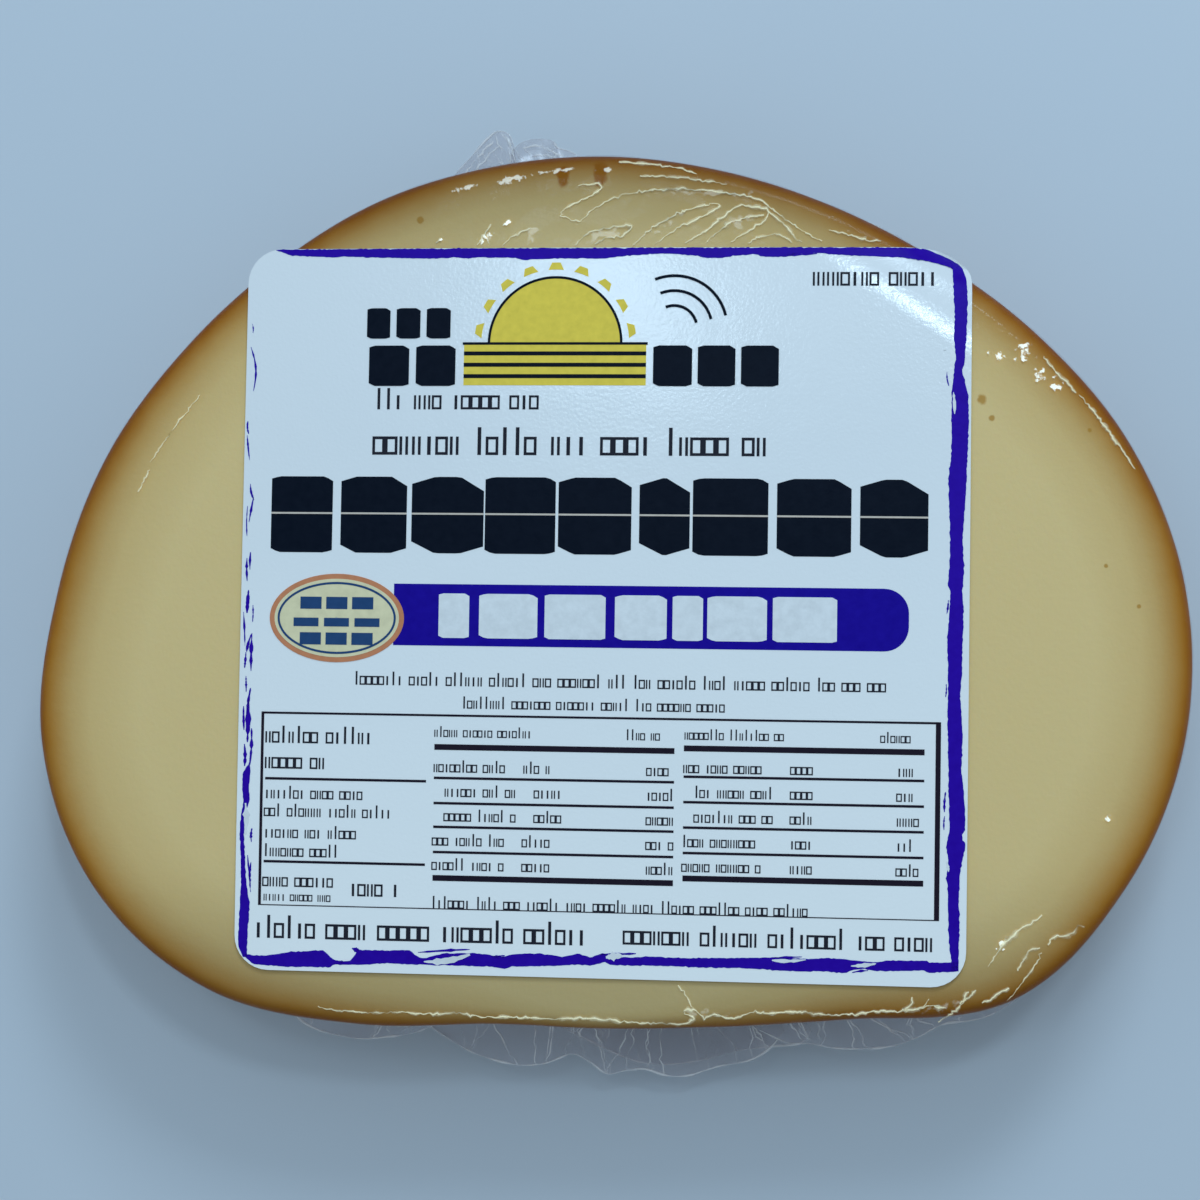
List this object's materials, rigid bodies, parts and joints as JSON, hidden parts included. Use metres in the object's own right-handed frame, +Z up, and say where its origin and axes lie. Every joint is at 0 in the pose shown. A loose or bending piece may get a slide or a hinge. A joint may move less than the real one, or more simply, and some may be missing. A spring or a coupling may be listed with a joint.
{
  "type": "provolone cheese",
  "caption": "Thick slab of smoked provolone in clear shrink film with a square paper label on its upper face.",
  "frame": {"origin": "middle of the slab's outline on the flat face it rests on", "axes": "+Z up out of the labelled face, +X along the slab's length towards the label's right edge, -Y towards the flatter front edge"},
  "size_m": [0.1635, 0.1392, 0.032],
  "materials": {
    "cheese": "pale butter yellow cut cheese, browned by smoke at its rind, seen through clear film",
    "film": "thin clear glossy shrink film with fine creases",
    "paper": "smooth semi-gloss white label paper",
    "ink": "near-black print on the label, with fields of blue, purple, cream and orange"
  },
  "bodies": {
    "root": {"provolone_in_film": "cheese", "label": "paper"}
  },
  "joints": []
}
